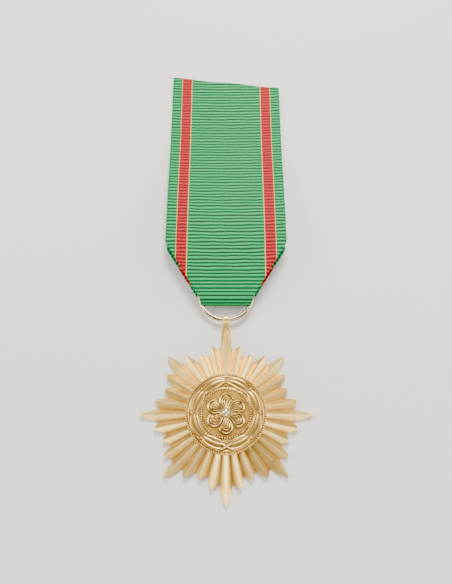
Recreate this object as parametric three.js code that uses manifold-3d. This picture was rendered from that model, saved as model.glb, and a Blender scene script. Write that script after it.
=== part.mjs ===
// A hanging service medal, lying on its back: a ray star with a raised medallion,
// a round suspension ring and a doubled silk ribbon with its lower corners tucked in.
// Millimetres, +Z up out of the medal's face, +Y from the star towards the ribbon's free end.

import * as THREE from 'three';
import { ConvexGeometry } from 'three/addons/geometries/ConvexGeometry.js';
import { mergeVertices } from 'three/addons/utils/BufferGeometryUtils.js';
import Module from 'manifold-3d';

// ---- driving dimensions, measured from the star's centre on the table --------------------

const rayCount = 32;
const mainTip = 20;            // four upright rays: the star is 40 mm across
const diagonalTip = 19.7;
const nearTip = 16.9;          // the rays on either side of a long one
const middleTip = 15.6;
const longNotch = 15.4;        // where a long ray and its neighbour part
const shortNotch = 14;         // where two short rays part
const tipCurve = 1.4;          // 1 would make straight-sided points, more makes them fuller
const tipHalfWidth = 0.12;
const rayRoot = 8.4;           // rays start here, under the medallion's edge
const ridgeAtHub = 2.2;
const ridgeAtTip = 1.3;
const grooveAtHub = 1.45;
const grooveAtTip = 0.85;

const hubRadius = 9.1;
const hubHeight = 2.15;

// The neck above the upright ray: distance from the centre, half width, flank and ridge heights.
const neckRoot = { y: 14.5, half: 1.65, flank: 1.1, ridge: 1.75 };
const neckShoulder = { y: 20.2, half: 1.15, flank: 1.5, ridge: 1.9 };
const neckLap = 0.1;           // the eyelet's block starts this far down inside the neck
const neckEnd = 22.5;          // and ends here, inside the eyelet
const neckEndLow = 0.6;
const neckEndHigh = 2.5;
const dishRadius = 0.75;       // a shallow round dish below the eyelet
const dishY = 21.6;
const dishZ = 2.55;

const pivotY = 23.3;           // the ring's wire in the eyelet: the star swings here
const pivotZ = 1.6;
const eyeletOuter = 1.2;
const eyeletHole = 0.85;
const eyeletWidth = 1.56;

const ringRadius = 6.6;        // to the middle of the wire
const wireRadius = 0.55;
const ringJointAngle = -122;   // degrees, where the wire's two ends face each other
const ringJointGap = 0.35;

const discRadius = 9.4;
const discBottom = 2.25;
const fieldTop = 2.85;
const fieldRoot = 0.3;         // raised pieces start this far down inside the disc
const wreathInner = 5.9;
const wreathOuter = 8.8;
const wreathTop = 3.2;
const ropeTop = 3.25;
const ropeWidth = 0.5;
const ropeRound = 0.22;        // its edges are rounded over this much
const pearlTop = 3.05;
const pearlRise = 0.12;        // in from the wreath: where the circle of pearls is at full height,
const pearlFall = 0.32;        // where it drops again
const pearlFoot = 0.45;        // and where it meets the field
const petalTop = 3.35;
const petalCount = 6;
const sprayCount = 8;
const sprayGap = 2;            // degrees kept free at each end of a spray
const sprayBulge = 1.28;
const sprayInnerShare = 0.875; // a spray bulges a little less towards the middle

const shankRadius = 0.6;
const shankHole = 0.9;
const bossRadius = 1.0;
const bossSeat = 3.12;         // the little collar that the ball sits on
const collarTop = 0.2;         // the collar's top and foot, beyond the ball
const collarFoot = 0.35;
const seatGap = 0.05;          // clearance between the rivet and what it holds
const ballLift = 0.35;         // share of the ball's radius from its seat to its middle
const shankEnd = 0.1;
const burrRadius = 1.7;
const burrHeight = 0.6;
const counterbore = 2.0;
const counterboreDepth = 0.75;

const ribbonWidth = 31;
const clothThickness = 0.4;
const flapStep = 0.55;         // from a layer's face to the same face of the flap inside it
const foldY = 27;              // outer edge of the fold through the ring
const foldRadius = 1.9;        // outside of the fold, seen from the side
const archTop = 4.75;          // highest point of the front layer's arch
const waistHalf = 5.05;        // half the fold's width
const flapAngle = 33;          // degrees, between a diagonal edge and the ribbon's length
const freeEndY = 97.8;         // middle of the free ends
const freeEndSkew = 1.9;       // the left corner is this much longer, the right one shorter
const softShoulder = 2.2;      // how far below the shoulder the edge starts to curve
const tuckShort = 0.9;         // a tucked flap stops this far short of the ribbon's edge
const hemWidth = 0.48;         // the layers are joined this far in from a diagonal edge

const creaseStart = 0.6;       // the inner crease starts this far above the fold
const gatherY = 33.8;          // above here the two inner creases are gathered and tacked
const gatherLength = 1.4;
const gatherLap = 0.5;         // the gathered part runs this far down inside the open crease
const gatherHalf = 0.3;        // half its height

const threadRadius = 0.17;
const threadTurns = 3;
const threadBeyond = 0.8;      // the thread's middle passes this far outside the creases,
const threadHalfHeight = 0.62; // this far above and below them,
const threadMargin = 0.3;      // and this far inside the gathered part's ends
const threadSquareness = 0.6;  // 1 would be round, less is squarer

const joinTolerance = 0.01;    // slivers thinner than this are dropped where pieces are joined
const overshoot = 1;           // cutters run this far past the faces that they cut
const wholeHeight = 9;         // taller than anything in the medal

const lengthMiddle = (freeEndY + freeEndSkew - mainTip) / 2;

// ---- small tools ------------------------------------------------------------------------

const wasm = await Module();
wasm.setup();

const radians = THREE.MathUtils.degToRad;
const polar = (radius, degrees) => [
  radius * Math.cos(radians(degrees)),
  radius * Math.sin(radians(degrees)),
];

function solid(geometry) {
  const bare = geometry.clone();
  bare.deleteAttribute('normal');
  bare.deleteAttribute('uv');
  const merged = mergeVertices(bare, 1e-5);
  return new wasm.Manifold(new wasm.Mesh({
    numProp: 3,
    vertProperties: new Float32Array(merged.attributes.position.array),
    triVerts: new Uint32Array(merged.index.array),
  }));
}

function geometryOf(manifold) {
  const mesh = manifold.simplify(joinTolerance).getMesh();
  const geometry = new THREE.BufferGeometry();
  geometry.setAttribute('position', new THREE.BufferAttribute(mesh.vertProperties, 3));
  geometry.setIndex(new THREE.BufferAttribute(mesh.triVerts, 1));
  geometry.computeVertexNormals();
  return geometry;
}

const sum = (solids) => solids.reduce((total, next) => total.add(next));

// An outline in plan, pulled up from zLow to zHigh.
function prism(outline, zLow, zHigh, curveSegments = 6) {
  const shape = outline instanceof THREE.Shape ? outline
    : new THREE.Shape(outline.map(([x, y]) => new THREE.Vector2(x, y)));
  const depth = zHigh - zLow;
  const geometry = new THREE.ExtrudeGeometry(shape, { depth, bevelEnabled: false, curveSegments });
  return solid(geometry.translate(0, 0, zLow));
}

function drum(radius, zLow, zHigh, segments = 32) {
  const geometry = new THREE.CylinderGeometry(radius, radius, zHigh - zLow, segments);
  return solid(geometry.rotateX(Math.PI / 2).translate(0, 0, (zLow + zHigh) / 2));
}

// A drum whose axis runs across the medal, round the pivot.
function crossDrum(radius, width, segments = 24) {
  const geometry = new THREE.CylinderGeometry(radius, radius, width, segments);
  return solid(geometry.rotateZ(Math.PI / 2).translate(0, pivotY, pivotZ));
}

function ball(radius, x, y, z, around = 20, down = 12) {
  return solid(new THREE.SphereGeometry(radius, around, down).translate(x, y, z));
}

const hull = (points) => solid(new ConvexGeometry(points.map((p) => new THREE.Vector3(...p))));

// ---- the ray star -----------------------------------------------------------------------

const tipRadius = (index) => {
  if (index % 8 === 0) return mainTip;
  if (index % 4 === 0) return diagonalTip;
  return index % 4 === 2 ? middleTip : nearTip;
};

// Neighbouring rays part further out where one of them is a long one.
const notchRadius = (index, neighbour) => (
  index % 4 === 0 || neighbour % 4 === 0 ? longNotch : shortNotch
);

// One ray along +X: a roof with a sharp ridge, each side curving in from its notch to the tip.
function ray(index) {
  const tip = tipRadius(index);
  const halfAngle = Math.tan(radians(180 / rayCount + 0.35));
  const height = (radius, atHub, atTip) => {
    const share = (radius - rayRoot) / (mainTip - rayRoot);
    return atHub + (atTip - atHub) * share;
  };
  const points = [
    [rayRoot, 0, height(rayRoot, ridgeAtHub, ridgeAtTip)],
    [tip - 0.5, 0, height(tip - 0.5, ridgeAtHub, ridgeAtTip)],
  ];
  for (const side of [-1, 1]) {
    const notch = notchRadius(index, (index + side + rayCount) % rayCount);
    const edge = (radius, halfWidth) => {
      points.push([radius, side * halfWidth, 0]);
      points.push([radius, side * halfWidth, height(radius, grooveAtHub, grooveAtTip)]);
    };
    edge(rayRoot, rayRoot * halfAngle);
    for (const share of [0, 0.3, 0.6, 0.85]) {
      edge(notch + (tip - notch) * share, notch * halfAngle * (1 - share ** tipCurve));
    }
    edge(tip, tipHalfWidth);
  }
  return hull(points);
}

// An upright slice across the neck, as its four corners.
const neckSlice = (y, half, zLow, zHigh) => [
  [-half, y, zLow], [half, y, zLow], [-half, y, zHigh], [half, y, zHigh],
];

// The upright ray runs on into a tapering neck that carries the eyelet.
function neck() {
  const { y, half, flank } = neckShoulder;
  const lower = hull([
    ...neckSlice(neckRoot.y, neckRoot.half, 0, neckRoot.flank),
    [0, neckRoot.y, neckRoot.ridge],
    ...neckSlice(y, half, 0, flank),
    [0, y, neckShoulder.ridge],
  ]);
  const upper = hull([
    ...neckSlice(y - neckLap, half, 0, flank),
    ...neckSlice(neckEnd, eyeletWidth / 2, neckEndLow, neckEndHigh),
  ]);
  return lower.add(upper).subtract(ball(dishRadius, 0, dishY, dishZ));
}

function starSolid() {
  const rays = [];
  for (let index = 0; index < rayCount; index += 1) {
    rays.push(ray(index).rotate([0, 0, index * 360 / rayCount]));
  }
  const eyelet = crossDrum(eyeletOuter, eyeletWidth);
  return sum([...rays, drum(hubRadius, 0, hubHeight, 64), neck(), eyelet])
    .subtract(crossDrum(eyeletHole, eyeletWidth + 2 * overshoot))
    .subtract(drum(shankHole, -overshoot, hubHeight + overshoot, 20))
    .subtract(drum(counterbore, -overshoot, counterboreDepth, 32));
}

// ---- the medallion ----------------------------------------------------------------------

// Rim, wreath band, pearl circle and plain field, turned as one section round the axis.
function medallionBlank() {
  const section = [
    [shankHole, discBottom],
    [discRadius, discBottom],
    [discRadius, ropeTop - ropeRound],
    [discRadius - ropeRound, ropeTop],
    [discRadius - ropeWidth, ropeTop - ropeRound],
    [wreathOuter, fieldTop],
    [wreathInner, fieldTop],
    [wreathInner - pearlRise, pearlTop],
    [wreathInner - pearlFall, pearlTop],
    [wreathInner - pearlFoot, fieldTop],
    [bossRadius + collarFoot, fieldTop],
    [bossRadius + collarTop, bossSeat],
    [shankHole, bossSeat],
    [shankHole, discBottom],
  ].map(([radius, z]) => new THREE.Vector2(radius, z));
  return solid(new THREE.LatheGeometry(section, 96).rotateX(Math.PI / 2));
}

// A comma-shaped petal, curling round clockwise.
function petalOutline() {
  const shape = new THREE.Shape();
  shape.moveTo(1.45, -0.25);
  shape.bezierCurveTo(2.1, -1.5, 4.2, -1.75, 4.75, -0.35);
  shape.bezierCurveTo(5.1, 0.9, 3.7, 1.75, 2.9, 1.05);
  shape.bezierCurveTo(2.5, 0.7, 2.2, 0.35, 1.45, -0.25);
  return shape;
}

// A lens-shaped spray of the wreath, lying along the band.
function sprayOutline() {
  const middle = (wreathInner + wreathOuter) / 2;
  const halfSpan = 180 / sprayCount - sprayGap;
  const outerPull = middle + sprayBulge * 2;
  const innerPull = middle - sprayBulge * 2 * sprayInnerShare;
  const shape = new THREE.Shape();
  shape.moveTo(...polar(middle, -halfSpan));
  shape.quadraticCurveTo(outerPull, 0, ...polar(middle, halfSpan));
  shape.quadraticCurveTo(innerPull, 0, ...polar(middle, -halfSpan));
  return shape;
}

function medallionSolid() {
  const pieces = [medallionBlank()];
  for (let index = 0; index < petalCount; index += 1) {
    const petal = prism(petalOutline(), fieldTop - fieldRoot, petalTop, 5);
    pieces.push(petal.rotate([0, 0, 90 + index * 360 / petalCount]));
  }
  for (let index = 0; index < sprayCount; index += 1) {
    const spray = prism(sprayOutline(), fieldTop - fieldRoot, wreathTop, 5);
    pieces.push(spray.rotate([0, 0, 22.5 + index * 360 / sprayCount]));
  }
  return sum(pieces);
}

// ---- the rivet through the middle --------------------------------------------------------

function rivetSolid() {
  const seat = bossSeat + seatGap;
  const middle = seat + bossRadius * ballLift;
  const below = drum(bossRadius * 2, -overshoot, seat);
  const head = ball(bossRadius, 0, 0, middle, 24, 16).subtract(below);
  return head.add(drum(shankRadius, shankEnd, middle, 20));
}

function burrSolid() {
  const hole = drum(shankHole, -overshoot, burrHeight + overshoot, 20);
  return drum(burrRadius, seatGap, burrHeight + seatGap, 32).subtract(hole);
}

// ---- the suspension ring -----------------------------------------------------------------

const ringY = pivotY + ringRadius;

class WireCurve extends THREE.Curve {
  getPoint(share, target = new THREE.Vector3()) {
    const halfGap = ringJointGap / 2 / ringRadius;
    const start = radians(ringJointAngle) + halfGap;
    const angle = start + share * (2 * Math.PI - 2 * halfGap);
    return target.set(ringRadius * Math.cos(angle), ringY + ringRadius * Math.sin(angle), pivotZ);
  }
}

function circleShape(radius, sides) {
  const points = [];
  for (let index = 0; index < sides; index += 1) {
    const [x, y] = polar(radius, index * 360 / sides);
    points.push(new THREE.Vector2(x, y));
  }
  return new THREE.Shape(points);
}

const wire = (radius, curve, steps, sides) => solid(new THREE.ExtrudeGeometry(
  circleShape(radius, sides),
  { steps, extrudePath: curve, bevelEnabled: false },
));

const ringSolid = () => wire(wireRadius, new WireCurve(), 64, 12);

// ---- the ribbon --------------------------------------------------------------------------

// The outer face of the doubled ribbon from the side, as [y, z, normalY, normalZ] along the
// back, round the fold and out along the arched front, as far as y = reach.
function sidePath(reach) {
  const path = [[reach, 0, 0, -1]];
  const turnY = foldY + foldRadius;
  const turnSteps = 10;
  for (let step = 0; step < turnSteps; step += 1) {
    const angle = -Math.PI / 2 - step / turnSteps * Math.PI;
    const [ny, nz] = [Math.cos(angle), Math.sin(angle)];
    path.push([turnY + foldRadius * ny, foldRadius + foldRadius * nz, ny, nz]);
  }
  const arch = new THREE.SplineCurve([
    [turnY, 2 * foldRadius], [34, 4.35], [40, archTop - 0.05], [46, archTop], [53, 4.4], [61, 3.5],
    [69, 2.35], [77, 1.4], [86, 1.05], [freeEndY + 5, 1],
  ].map(([y, z]) => new THREE.Vector2(y, z)));
  const archSteps = 26;
  for (let step = 0; step <= archSteps; step += 1) {
    const point = arch.getPoint(step / archSteps);
    const tangent = arch.getTangent(step / archSteps);
    path.push([point.x, point.y, -tangent.y, tangent.x]);
  }
  return path.filter(([y]) => y <= reach);
}

// The cloth between two depths under the outer face, as wide as the whole ribbon.
function band(outer, inner) {
  const path = sidePath(freeEndY + 5);
  const at = (depth) => path.map(([y, z, ny, nz]) => [y - depth * ny, z - depth * nz]);
  return acrossRibbon([...at(outer), ...at(inner).reverse()]);
}

// Everything inside the fold, from one depth inwards.
function inside(depth) {
  return acrossRibbon(sidePath(shoulderY).map(([y, z, ny, nz]) => [y - depth * ny, z - depth * nz]));
}

function acrossRibbon(outline) {
  const shape = new THREE.Shape(outline.map(([y, z]) => new THREE.Vector2(y, z)));
  const depth = ribbonWidth + 4;
  const geometry = new THREE.ExtrudeGeometry(shape, { depth, bevelEnabled: false });
  const turn = new THREE.Matrix4().makeBasis(
    new THREE.Vector3(0, 1, 0), new THREE.Vector3(0, 0, 1), new THREE.Vector3(1, 0, 0));
  return solid(geometry.applyMatrix4(turn).translate(-depth / 2, 0, 0));
}

const slope = Math.tan(radians(flapAngle));
const shoulderY = foldY + (ribbonWidth / 2 - waistHalf) / slope;
const flapLength = ribbonWidth / 2 - waistHalf;
const flapTipX = waistHalf - flapLength * Math.cos(radians(2 * flapAngle));
const flapTipY = foldY + flapLength * Math.sin(radians(2 * flapAngle));

// The ribbon in plan: narrow at the fold, full width past the soft shoulders.
function ribbonOutline() {
  const half = ribbonWidth / 2;
  const below = shoulderY - softShoulder;
  const above = shoulderY + 2 * softShoulder;
  const inset = half - softShoulder * slope;
  const shape = new THREE.Shape();
  shape.moveTo(-waistHalf, foldY - overshoot);
  shape.lineTo(waistHalf, foldY - overshoot);
  shape.lineTo(waistHalf, foldY);
  shape.lineTo(inset, below);
  shape.quadraticCurveTo(half, shoulderY, half, above);
  shape.lineTo(half, freeEndY - freeEndSkew);
  shape.lineTo(-half, freeEndY + freeEndSkew);
  shape.lineTo(-half, above);
  shape.quadraticCurveTo(-half, shoulderY, -inset, below);
  shape.lineTo(-waistHalf, foldY);
  return shape;
}

// Where the crease between a corner's two flaps lies, at a distance up the ribbon from the fold.
const creaseX = (y) => waistHalf + (flapTipX - waistHalf) * (y - foldY) / (flapTipY - foldY);

// A stretch of the crease, as a thin upright wall between the two flaps.
function creaseOutline(fromY, toY) {
  return [
    [creaseX(fromY) + clothThickness, fromY], [creaseX(toY) + clothThickness, toY],
    [creaseX(toY), toY], [creaseX(fromY), fromY],
  ];
}

// One tucked corner: a flap under each layer, joined to it along the diagonal edge and to
// the other flap along the inner crease. Past the wall the crease is gathered for the tack.
function tuckedCorner(side) {
  const outerX = ribbonWidth / 2 - tuckShort;
  const outerY = shoulderY - tuckShort / slope;
  const flap = [[waistHalf, foldY], [outerX, outerY], [flapTipX, flapTipY]];
  const edge = [
    [waistHalf, foldY],
    [outerX, outerY],
    [outerX - hemWidth, outerY],
    [waistHalf - hemWidth, foldY],
  ];
  const upright = (outline, zLow = -overshoot, zHigh = wholeHeight) => {
    const points = outline.map(([x, y]) => [side * x, y]);
    return prism(side > 0 ? points : points.reverse(), zLow, zHigh);
  };
  const crease = creaseOutline(foldY + creaseStart, gatherY);
  const gathered = creaseOutline(gatherY - gatherLap, gatherY + gatherLength);
  return sum([
    upright(flap).intersect(band(flapStep, flapStep + clothThickness)),
    upright(edge).intersect(band(0, flapStep + clothThickness)),
    upright(crease).intersect(inside(flapStep)),
    upright(gathered, foldRadius - gatherHalf, foldRadius + gatherHalf),
  ]);
}

function ribbonSolid() {
  return prism(ribbonOutline(), -overshoot, wholeHeight)
    .intersect(band(0, clothThickness))
    .add(tuckedCorner(1))
    .add(tuckedCorner(-1));
}

// Thread wound round the two gathered creases: it keeps them together under the ring's wire.
class TackCurve extends THREE.Curve {
  getPoint(share, target = new THREE.Vector3()) {
    const angle = (0.1 + share * (threadTurns - 0.2)) * 2 * Math.PI;
    const squared = (value) => Math.sign(value) * Math.abs(value) ** threadSquareness;
    return target.set(
      (creaseX(gatherY) + threadBeyond) * squared(Math.cos(angle)),
      gatherY + threadMargin + share * (gatherLength - 2 * threadMargin),
      foldRadius + threadHalfHeight * squared(Math.sin(angle)),
    );
  }
}

const tackSolid = () => wire(threadRadius, new TackCurve(), 48, 6);

// ---- assembly ----------------------------------------------------------------------------

const gilt = { color: 0xb99a63, roughness: 0.45, metalness: 0.85 };
const finishes = {
  ray_star: gilt,
  medallion_disc: gilt,
  centre_rivet: { color: 0xd9cfb8, roughness: 0.2, metalness: 0.95 },
  rivet_burr: { color: 0xa88d5c, roughness: 0.5, metalness: 0.85 },
  suspension_ring: { color: 0xc9bd9b, roughness: 0.3, metalness: 0.9 },
  ribbon: { color: 0x2a9a5c, roughness: 0.75, metalness: 0 },
  corner_tack: { color: 0x1f7a48, roughness: 0.85, metalness: 0 },
};

const group = new THREE.Group();
group.position.y = -lengthMiddle;

function place(name, manifold) {
  const mesh = new THREE.Mesh(geometryOf(manifold), new THREE.MeshStandardMaterial(finishes[name]));
  mesh.name = name;
  group.add(mesh);
}

place('ribbon', ribbonSolid());
place('corner_tack', tackSolid());
place('suspension_ring', ringSolid());
place('ray_star', starSolid());
place('medallion_disc', medallionSolid());
place('centre_rivet', rivetSolid());
place('rivet_burr', burrSolid());

export default group;
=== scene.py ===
import math

import bmesh
import bpy
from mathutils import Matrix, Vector


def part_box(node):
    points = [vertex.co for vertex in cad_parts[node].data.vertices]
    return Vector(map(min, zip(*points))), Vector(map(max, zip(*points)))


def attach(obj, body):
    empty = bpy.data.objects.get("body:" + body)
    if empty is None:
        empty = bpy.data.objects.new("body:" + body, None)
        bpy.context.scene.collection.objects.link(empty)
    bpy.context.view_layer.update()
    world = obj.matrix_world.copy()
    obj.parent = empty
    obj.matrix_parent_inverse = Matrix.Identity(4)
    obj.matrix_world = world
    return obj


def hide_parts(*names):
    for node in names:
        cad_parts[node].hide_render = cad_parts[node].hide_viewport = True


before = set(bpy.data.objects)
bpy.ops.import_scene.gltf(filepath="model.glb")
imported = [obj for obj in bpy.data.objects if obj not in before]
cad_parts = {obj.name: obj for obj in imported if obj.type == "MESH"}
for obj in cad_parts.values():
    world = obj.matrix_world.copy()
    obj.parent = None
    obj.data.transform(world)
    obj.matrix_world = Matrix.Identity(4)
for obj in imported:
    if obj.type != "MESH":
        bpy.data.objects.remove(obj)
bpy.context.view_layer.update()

# the medal lies on its back, all shapes are drawn in mm round the middle of the star
# and settled at the end into the frame's metres
discLow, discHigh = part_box("medallion_disc")
starPlace = Vector((0, (discLow.y + discHigh.y) / 2, 0))
mm = 0.001


def clearSelection():
    if bpy.context.mode != "OBJECT":
        bpy.ops.object.mode_set(mode="OBJECT")
    bpy.ops.object.select_all(action="DESELECT")


def makeActive(piece):
    clearSelection()
    piece.select_set(True)
    bpy.context.view_layer.objects.active = piece


def startPiece(name):
    # the primitive that was just added, with its place in its mesh
    piece = bpy.context.object
    piece.name = name
    piece.data.name = name
    bpy.ops.object.transform_apply(location=True, rotation=True, scale=True)
    return piece


def editPiece(piece):
    makeActive(piece)
    bpy.ops.object.mode_set(mode="EDIT")


def choose(piece, kind, test):
    # selects the faces, edges or vertices that pass the test
    bpy.ops.mesh.select_mode(type=kind)
    bpy.ops.mesh.select_all(action="DESELECT")
    shape = bmesh.from_edit_mesh(piece.data)
    parts = {"FACE": shape.faces, "EDGE": shape.edges, "VERT": shape.verts}[kind]
    for part in parts:
        if test(part):
            part.select_set(True)
    bmesh.update_edit_mesh(piece.data)


def cutAway(point, normal, fill=True):
    # takes off everything beyond a plane, on the side that its normal points to
    bpy.ops.mesh.select_all(action="SELECT")
    bpy.ops.mesh.bisect(plane_co=point, plane_no=Vector(normal).normalized(), use_fill=fill,
                        clear_outer=True)


def tidyMesh(piece, gap=0.0004):
    editPiece(piece)
    bpy.ops.mesh.select_all(action="SELECT")
    bpy.ops.mesh.remove_doubles(threshold=gap)
    bpy.ops.mesh.select_all(action="SELECT")
    bpy.ops.mesh.normals_make_consistent(inside=False)
    bpy.ops.object.mode_set(mode="OBJECT")


def joinAll(pieces, name):
    clearSelection()
    for piece in pieces:
        piece.select_set(True)
    bpy.context.view_layer.objects.active = pieces[0]
    bpy.ops.object.join()
    pieces[0].name = name
    pieces[0].data.name = name
    return pieces[0]


def copyTurned(piece, degrees):
    makeActive(piece)
    bpy.ops.object.duplicate(linked=False)
    twin = bpy.context.object
    twin.rotation_euler.z = math.radians(degrees)
    bpy.ops.object.transform_apply(location=True, rotation=True, scale=True)
    return twin


def combine(piece, tool, operation):
    # boolean with another solid, which is used up
    makeActive(piece)
    modifier = piece.modifiers.new(operation.title(), "BOOLEAN")
    modifier.object = tool
    modifier.operation = operation
    modifier.solver = "EXACT"
    bpy.ops.object.modifier_apply(modifier=modifier.name)
    bpy.data.objects.remove(tool)


def drum(name, radius, low, high, sides, edge=0.0, axis="Z", middle=(0, 0, 0)):
    # a round blank, with its rims broken by a small bevel
    turn = (0, math.pi / 2, 0) if axis == "X" else (0, 0, 0)
    lift = (0, 0, (low + high) / 2) if axis == "Z" else ((low + high) / 2, 0, 0)
    bpy.ops.mesh.primitive_cylinder_add(
        vertices=sides, radius=radius, depth=high - low, rotation=turn,
        location=tuple(a + b for a, b in zip(middle, lift)))
    piece = startPiece(name)
    if edge:
        editPiece(piece)
        choose(piece, "EDGE", lambda e: sum(len(f.verts) > 4 for f in e.link_faces) == 1)
        bpy.ops.mesh.bevel(offset=edge, segments=2, affect="EDGES")
        bpy.ops.object.mode_set(mode="OBJECT")
    return piece


def turnedShape(name, section, steps=96):
    # a section drawn point by point from one vertex, then spun round the medal's axis
    bpy.ops.mesh.primitive_plane_add(size=0.2, location=(section[0][0], 0, section[0][1]))
    piece = startPiece(name)
    editPiece(piece)
    bpy.ops.mesh.select_all(action="SELECT")
    bpy.ops.mesh.merge(type="CENTER")
    for before, after in zip(section, section[1:]):
        step = (after[0] - before[0], 0, after[1] - before[1])
        bpy.ops.mesh.extrude_region_move(TRANSFORM_OT_translate={"value": step})
    bpy.ops.mesh.select_all(action="SELECT")
    bpy.ops.mesh.spin(steps=steps, angle=math.tau, center=(0, 0, 0), axis=(0, 0, 1))
    bpy.ops.object.mode_set(mode="OBJECT")
    tidyMesh(piece)
    return piece


def drawnRidge(name, path, widths, height, z, sides=8):
    # a raised line with rounded sides, pulled along a path and tapered as it goes
    first, second = Vector(path[0]), Vector(path[1])
    heading = math.atan2(second.y - first.y, second.x - first.x)
    bpy.ops.mesh.primitive_circle_add(
        vertices=sides, radius=widths[0] / 2, fill_type="NGON",
        location=(first.x, first.y, z), rotation=(math.pi / 2, 0, heading + math.pi / 2))
    piece = startPiece(name)
    editPiece(piece)
    bpy.ops.mesh.select_all(action="SELECT")
    for index in range(1, len(path)):
        here, there = Vector(path[index - 1]), Vector(path[index])
        step = there - here
        bpy.ops.mesh.extrude_region_move(
            TRANSFORM_OT_translate={"value": (step.x, step.y, 0)})
        if index + 1 < len(path):
            ahead = Vector(path[index + 1]) - here
            wanted = math.atan2(ahead.y, ahead.x)
        else:
            wanted = math.atan2(step.y, step.x)
        turn = (wanted - heading + math.pi) % math.tau - math.pi
        heading = wanted
        centre = (there.x, there.y, z)
        # with no window a positive angle turns clockwise
        bpy.ops.transform.rotate(value=-turn, orient_axis="Z", center_override=centre)
        ratio = widths[index] / widths[index - 1]
        bpy.ops.transform.resize(value=(ratio,) * 3, center_override=centre)
    bpy.ops.mesh.select_all(action="SELECT")
    flatten = 2 * height / max(widths)
    bpy.ops.transform.resize(value=(1, 1, flatten), center_override=(0, 0, z))
    bpy.ops.object.mode_set(mode="OBJECT")
    tidyMesh(piece)
    return piece


def bead(name, radius, place, stretch=(1, 1, 1), turn=0.0, around=8, rings=6):
    bpy.ops.mesh.primitive_uv_sphere_add(
        segments=around, ring_count=rings, radius=radius, location=place,
        rotation=(0, 0, turn), scale=stretch)
    return startPiece(name)


def ringOf(piece, count):
    # the same shape repeated round the medal's axis
    editPiece(piece)
    bpy.ops.mesh.select_all(action="SELECT")
    bpy.ops.mesh.spin(
        steps=count - 1, angle=math.tau * (count - 1) / count,
        center=(0, 0, 0), axis=(0, 0, 1), dupli=True)
    bpy.ops.object.mode_set(mode="OBJECT")
    return piece


def smoothTo(piece, degrees):
    makeActive(piece)
    bpy.ops.object.shade_smooth_by_angle(angle=math.radians(degrees))


def settle(piece):
    # from mm round the star to the frame's metres
    makeActive(piece)
    piece.scale = (mm, mm, mm)
    piece.location = starPlace
    bpy.ops.object.transform_apply(location=True, rotation=True, scale=True)


def polar(radius, degrees):
    return (radius * math.cos(math.radians(degrees)), radius * math.sin(math.radians(degrees)))


# materials

def linearColour(hexColour):
    parts = [int(hexColour[i:i + 2], 16) / 255 for i in (1, 3, 5)]
    return [p / 12.92 if p <= 0.04045 else ((p + 0.055) / 1.055) ** 2.4 for p in parts] + [1]


def addNode(tree, kind, settings=None, values=None, links=None):
    made = tree.nodes.new(kind)
    for key, value in (settings or {}).items():
        setattr(made, key, value)
    for key, value in (values or {}).items():
        made.inputs[key].default_value = value
    for key, socket in (links or {}).items():
        tree.links.new(socket, made.inputs[key])
    return made


def setStops(ramp, stops, interpolation="LINEAR"):
    band = ramp.color_ramp
    band.interpolation = interpolation
    while len(band.elements) < len(stops):
        band.elements.new(1)
    for element, (position, colour) in zip(band.elements, stops):
        element.position = position
        element.color = linearColour(colour) if isinstance(colour, str) else [colour] * 3 + [1]


def startMaterial(name):
    material = bpy.data.materials.new(name)
    material.use_nodes = True
    tree = material.node_tree
    return material, tree, tree.nodes["Principled BSDF"]


giltLook = {
    "clean": "#F9D77F",       # fire gilding, matt and a little pale
    "warm": "#E8BC62",        # thinner gilding, the brass shows
    "hollow": "#5A360C",      # brown tarnish that polishing never reached
    "rubbed": "#FFEBB4",      # ridges that cloth has rubbed bright
    "patchSize": 4.5,
    "grainSize": 0.22,
    "hollowReach": 0.6,
    "hollowStops": (0.25, 0.78),
    "roughness": 0.40,
}


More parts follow.
